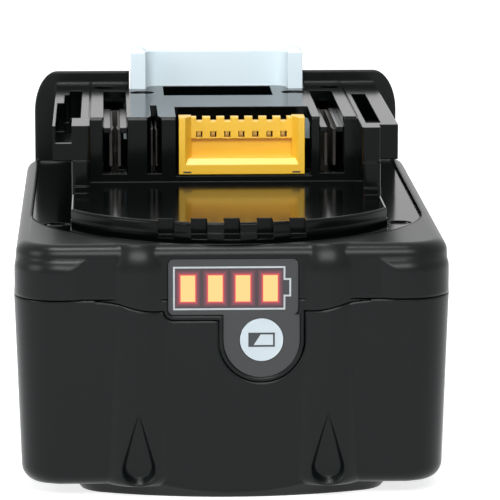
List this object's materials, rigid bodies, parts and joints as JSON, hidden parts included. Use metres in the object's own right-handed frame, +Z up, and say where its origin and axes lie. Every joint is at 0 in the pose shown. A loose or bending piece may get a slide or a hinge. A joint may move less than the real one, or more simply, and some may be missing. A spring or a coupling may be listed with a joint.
{
  "type": "power tool battery pack",
  "caption": "Slide-on rechargeable battery pack with a rail deck, slotted terminals, yellow connector, white latch hook, release button and lit charge gauge.",
  "frame": {"origin": "under the middle of the pack, in the plane that it stands on", "axes": "+Z up from the foot to the terminal deck, +Y from the charge gauge towards the release button, +X to the right when looking at the gauge"},
  "size_m": [0.076, 0.113, 0.0678],
  "materials": {
    "case_black": "fine-textured moulded nylon, satin black",
    "deck_black": "smoother moulded nylon, semi-gloss black",
    "button_black": "moulded nylon, satin black",
    "white_nylon": "smooth bluish-white moulding",
    "spring_steel": "drawn spring wire",
    "screw_steel": "zinc-plated steel",
    "connector_yellow": "smooth yellow moulding",
    "contact_brass": "plated contact blades",
    "terminal_steel": "tin-plated spring clip",
    "board_green": "coated circuit board",
    "component_black": "moulded epoxy",
    "cell_sleeve": "shrink-sleeved steel cell",
    "holder_grey": "moulded flame-retardant plastic",
    "nickel_strip": "nickel-plated strip",
    "insulating_paper": "pressed insulating paper",
    "pad_foam": "closed-cell foam",
    "led_red": "clear red lens",
    "clear_plastic": "clear moulded plastic",
    "label_film": "printed film, semi-gloss",
    "white_button": "smooth white moulding",
    "switch_black": "moulded switch body",
    "ribbon_white": "flat insulated cable"
  },
  "bodies": {
    "pack": {"lower_case": "case_black", "upper_case": "deck_black", "latch_spring_left": "spring_steel", "latch_spring_right": "spring_steel", "latch_frame": "case_black", "case_screws": "screw_steel", "deck_screws": "screw_steel", "well_screws": "screw_steel", "connector_block": "connector_yellow", "connector_contacts": "contact_brass", "positive_terminal": "terminal_steel", "negative_terminal": "terminal_steel", "signal_terminal": "terminal_steel", "control_board": "board_green", "board_parts": "component_black", "cells_lower": "cell_sleeve", "cells_upper": "cell_sleeve", "cell_holder_left": "holder_grey", "cell_holder_right": "holder_grey", "bus_strips_left": "nickel_strip", "bus_strips_right": "nickel_strip", "insulating_sheet_left": "insulating_paper", "insulating_sheet_right": "insulating_paper", "damping_pads": "pad_foam", "thermistor": "component_black", "gauge_board": "board_green", "gauge_leds": "led_red", "light_guide": "clear_plastic", "gauge_label": "label_film", "check_switch": "switch_black", "gauge_ribbon": "ribbon_white"},
    "latch": {"latch_hook": "white_nylon", "release_button": "button_black"},
    "check": {"check_button": "white_button", "switch_plunger": "switch_black"}
  },
  "joints": [
    {"name": "latch_slide", "type": "slide", "parent": "pack", "child": "latch", "axis": [0, 0, -1], "range_m": [0, 0.0054], "stiffness_N_per_m": 2000, "springref_m": -0.001, "deforming": ["latch_spring_left", "latch_spring_right"]},
    {"name": "check_press", "type": "slide", "parent": "pack", "child": "check", "axis": [0, 1, 0], "range_m": [0, 0.0005], "stiffness_N_per_m": 4000, "springref_m": -0.0001}
  ]
}
